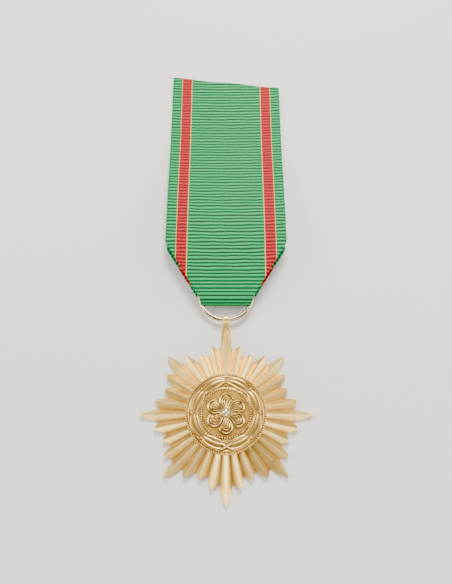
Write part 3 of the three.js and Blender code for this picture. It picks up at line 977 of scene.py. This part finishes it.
def clothPoint(across, run, depth):
    # where a point of the flat ribbon lies, depth mm under its outer face
    y, share, (ny, nz) = sidePoint(run)
    slope = math.radians(ribbon["flapAngle"])
    radius = ribbon["flapStep"] / 2
    bend = math.pi * radius / 2
    line = creaseLine(y)
    beyond = (abs(across) - line) * math.cos(slope)
    sign = 1 if across > 0 else -1
    if beyond <= -bend:
        high = archHeight(y) if y > turnY else 2 * ribbon["foldRadius"]
        z = share * high
        return Vector((across, y - depth * ny, z - depth * nz))
    if beyond < bend:
        turn = (beyond + bend) / radius
        inPlane = -bend + (radius - depth) * math.sin(turn)
        sunk = radius - (radius - depth) * math.cos(turn)
    else:
        inPlane = -beyond
        sunk = 2 * radius - depth
    # step back from the diagonal by inPlane, measured square to it
    footX = abs(across) - beyond * math.cos(slope)
    footY = y + beyond * math.sin(slope)
    x = footX + inPlane * math.cos(slope)
    y = footY - inPlane * math.sin(slope)
    high = archHeight(y) if y > turnY else 2 * ribbon["foldRadius"]
    z = sunk + share * (high - 2 * sunk)
    return Vector((sign * x, y, z))


def endRun(across, front):
    # the raw cut is skewed and a little wavy
    y = ribbon["endY"] - ribbon["endSkew"] * across / ribbon["half"]
    for height, rate, start in ribbon["endWaves"]:
        y += height * math.sin(across * rate + start)
    return runAt(y, front)


def columnsAt(run):
    # columns crowd round the diagonal crease, and along the selvedge above it
    y = sidePoint(run)[0]
    slope = math.radians(ribbon["flapAngle"])
    bend = math.pi * ribbon["flapStep"] / 4 / math.cos(slope)
    line = creaseLine(y)
    inner = min(line - bend, ribbon["half"] - 1.3)
    outer = min(max(line + bend, inner + 0.6), ribbon["half"] - 0.45)
    places = [inner * i / ribbon["innerColumns"] for i in range(ribbon["innerColumns"])]
    places += [inner + (outer - inner) * i / ribbon["bendColumns"]
               for i in range(ribbon["bendColumns"])]
    places += [outer + (ribbon["half"] - outer) * i / ribbon["edgeColumns"]
               for i in range(ribbon["edgeColumns"] + 1)]
    return [-p for p in reversed(places[1:])] + places


def ribRows():
    # from one free end to the other: distance from the fold, rib number and the rib's swell
    reach = runAt(ribbon["endY"] + ribbon["endSkew"] + 1.2, True)
    ribs = math.ceil(reach / ribbon["ribPitch"])
    samples = ribbon["ribSamples"]
    rows = []
    for index in range(-ribs * samples, ribs * samples + 1):
        step = index / samples
        run = (step + ribbon["pitchDrift"] * math.sin(2.4 * step)) * ribbon["ribPitch"]
        swell = abs(math.sin(math.pi * step)) ** ribbon["ribFullness"]
        rows.append((run, step, swell, columnsAt(run)))
    return rows


def clothFaces(count, width):
    # outer and inner face as two grids, closed along the selvedges and the cut ends
    faces = []
    for row in range(count - 1):
        for column in range(width - 1):
            a = row * width + column
            b = a + width * count
            faces.append((a, a + width, a + width + 1, a + 1))
            faces.append((b, b + 1, b + width + 1, b + width))
    for row in range(count - 1):
        for column in (0, width - 1):
            a = row * width + column
            b = a + width * count
            quad = (a, b, b + width, a + width)
            faces.append(quad if column == 0 else quad[::-1])
    for row in (0, count - 1):
        for column in range(width - 1):
            a = row * width + column
            b = a + width * count
            quad = (a, a + 1, b + 1, b)
            faces.append(quad if row == 0 else quad[::-1])
    return faces


def buildRibbon():
    rows = ribRows()
    width = len(rows[0][3])
    points, coordinates = [], []
    for layer in (0, 1):
        for run, phase, swell, columns in rows:
            front = run > 0
            for across in columns:
                edge = min(1.0, (ribbon["half"] - abs(across)) / ribbon["selvedgeWidth"])
                bowed = ribbon["bow"] * (1 - (across / ribbon["half"]) ** 2)
                # two slow waves of different lengths, so that no two ribs stray alike
                bowed += ribbon["wobble"] * (math.sin(0.7 * across + 1.1 * phase)
                                             + 0.5 * math.sin(1.9 * across - 0.8 * phase))
                bowed *= min(1.0, max(0.0, (abs(run) - ribbon["bowFrom"]) / ribbon["bowEase"]))
                place = abs(run) - bowed
                cut = abs(endRun(across, front))
                fullness = swell if place < cut else 1.0
                place = min(place, cut)
                signedRun = place if front else -place
                hollow = ribbon["ribDepth"] * (1 - fullness)
                hollow += ribbon["selvedgeSink"] * (1 - edge)
                depth = hollow
                if layer == 1:
                    depth = ribbon["thickness"] - ribbon["backShare"] * hollow
                wide = across
                if edge < 1e-5:
                    out = ribbon["selvedgeLoop"] * fullness - ribbon["selvedgeInset"]
                    wide = math.copysign(ribbon["half"] + out, across)
                points.append(clothPoint(wide, signedRun, depth))
                coordinates.append((across, phase))
    mesh = bpy.data.meshes.new("folded_ribbon")
    mesh.from_pydata(points, [], clothFaces(len(rows), width))
    layer = mesh.uv_layers.new(name="weave")
    for loop in mesh.loops:
        layer.data[loop.index].uv = coordinates[loop.vertex_index]
    piece = bpy.data.objects.new("folded_ribbon", mesh)
    bpy.context.scene.collection.objects.link(piece)
    editPiece(piece)
    bpy.ops.mesh.select_all(action="SELECT")
    bpy.ops.mesh.remove_doubles(threshold=0.002)
    bpy.ops.mesh.select_all(action="SELECT")
    bpy.ops.mesh.dissolve_degenerate(threshold=0.0005)
    bpy.ops.mesh.select_all(action="SELECT")
    bpy.ops.mesh.normals_make_consistent(inside=False)
    bpy.ops.object.mode_set(mode="OBJECT")
    return piece


silk = stripedSilk("wovenRibbedSilk", silkLook, ribbon["half"])
cloth = buildRibbon()
finishPiece(cloth, silk, "ribbon", "ribbon", 60)


# the tack that holds the two inner creases together

tack = {"turns": 3, "strand": 0.095, "twist": 0.075, "halfX": 2.82, "y": 34.1, "length": 0.8,
        "z": 1.9, "halfZ": 0.62, "lays": 26}


def tackPoint(share):
    angle = (0.1 + share * (tack["turns"] - 0.2)) * math.tau
    squared = [math.copysign(abs(value) ** 0.6, value)
               for value in (math.cos(angle), math.sin(angle))]
    return Vector((tack["halfX"] * squared[0], tack["y"] + share * tack["length"],
                   tack["z"] + tack["halfZ"] * squared[1]))


def buildTack():
    # two plies twisted round one another along the seam's path
    plies = []
    steps = 150
    for ply in range(2):
        curve = bpy.data.curves.new("ply", "CURVE")
        curve.dimensions = "3D"
        curve.bevel_depth = tack["strand"]
        curve.bevel_resolution = 1
        curve.use_fill_caps = True
        line = curve.splines.new("POLY")
        line.points.add(steps)
        for index in range(steps + 1):
            share = index / steps
            here = tackPoint(share)
            ahead = (tackPoint(min(1, share + 0.004)) - tackPoint(max(0, share - 0.004)))
            side = Vector((0, 1, 0))
            up = ahead.normalized().cross(side)
            angle = math.tau * (share * tack["lays"] + ply / 2)
            spot = here + tack["twist"] * (side * math.cos(angle) + up * math.sin(angle))
            line.points[index].co = (*spot, 1)
        piece = bpy.data.objects.new("ply", curve)
        bpy.context.scene.collection.objects.link(piece)
        makeActive(piece)
        bpy.ops.object.convert(target="MESH")
        plies.append(bpy.context.object)
    return joinAll(plies, "sewn_tack")


cotton = sewingThread("twistedCottonThread", threadLook)
finishPiece(buildTack(), cotton, "ribbon", "corner_tack", 60)
print("tack ready")


# floor, light and camera

studio = {
    "floor": ("#E8E6E2", "#ECEAE6"),
    "floorSize": 1.6,
    "toothSize": 1.11,        # mm
    "room": "#F4F2EE",
    "roomStrength": 0.25,
    "cameraPlace": (0.0, -0.0706, 0.14695),
    "cameraTilt": 23.3,
    "lens": 38.77,
    "shiftY": -0.0068,
    # place, size and where it points in metres, power in watts
    "lamps": {
        "keySoftbox": ((0.03, 0.21, 0.27), 0.13, (0, 0.01, 0), 1.9),
        "fillSoftbox": ((-0.36, 0.05, 0.34), 0.26, (0, 0, 0), 0.9),
        "frontSoftbox": ((0.20, -0.36, 0.34), 0.26, (0, 0, 0), 0.6),
        "leftStrip": ((-0.30, -0.04, 0.13), 0.18, (0, -0.05, 0), 0.60),
        "rightStrip": ((0.30, -0.04, 0.13), 0.18, (0, -0.05, 0), 0.75),
        "nearStrip": ((0.0, -0.36, 0.13), 0.18, (0, -0.05, 0), 0.60),
    },
}


def buildStudio():
    # uncoated paper: pale and matt, with a faint tooth
    material, tree, shader = startMaterial("mattPaperFloor")
    place = addNode(tree, "ShaderNodeTexCoord").outputs["Object"]
    tooth = addNode(tree, "ShaderNodeTexNoise", values={
        "Scale": 1 / (studio["toothSize"] * mm), "Detail": 3}, links={"Vector": place})
    ramp = addNode(tree, "ShaderNodeValToRGB", links={"Fac": tooth.outputs["Fac"]})
    setStops(ramp, [(0.3, studio["floor"][0]), (0.7, studio["floor"][1])])
    tree.links.new(ramp.outputs["Color"], shader.inputs["Base Color"])
    shader.inputs["Roughness"].default_value = 0.9
    clearSelection()
    bpy.ops.mesh.primitive_plane_add(size=studio["floorSize"], location=(0, 0, -0.00003))
    floor = startPiece("floor")
    floor.data.materials.append(material)

    world = bpy.data.worlds.new("softRoom")
    world.use_nodes = True
    background = world.node_tree.nodes["Background"]
    background.inputs["Color"].default_value = linearColour(studio["room"])
    background.inputs["Strength"].default_value = studio["roomStrength"]
    bpy.context.scene.world = world

    for name, (spot, size, aim, power) in studio["lamps"].items():
        data = bpy.data.lights.new(name, "AREA")
        data.size = size
        data.energy = power
        lamp = bpy.data.objects.new(name, data)
        bpy.context.scene.collection.objects.link(lamp)
        lamp.location = spot
        lamp.rotation_euler = (Vector(aim) - Vector(spot)).to_track_quat("-Z", "Y").to_euler()

    data = bpy.data.cameras.new("camera")
    data.lens = studio["lens"]
    data.sensor_width = 36
    data.shift_y = studio["shiftY"]
    data.clip_start = 0.005
    camera = bpy.data.objects.new("camera", data)
    bpy.context.scene.collection.objects.link(camera)
    camera.location = studio["cameraPlace"]
    camera.rotation_euler = (math.radians(studio["cameraTilt"]), 0, 0)
    bpy.context.scene.camera = camera


buildStudio()
print("studio ready")

clearSelection()
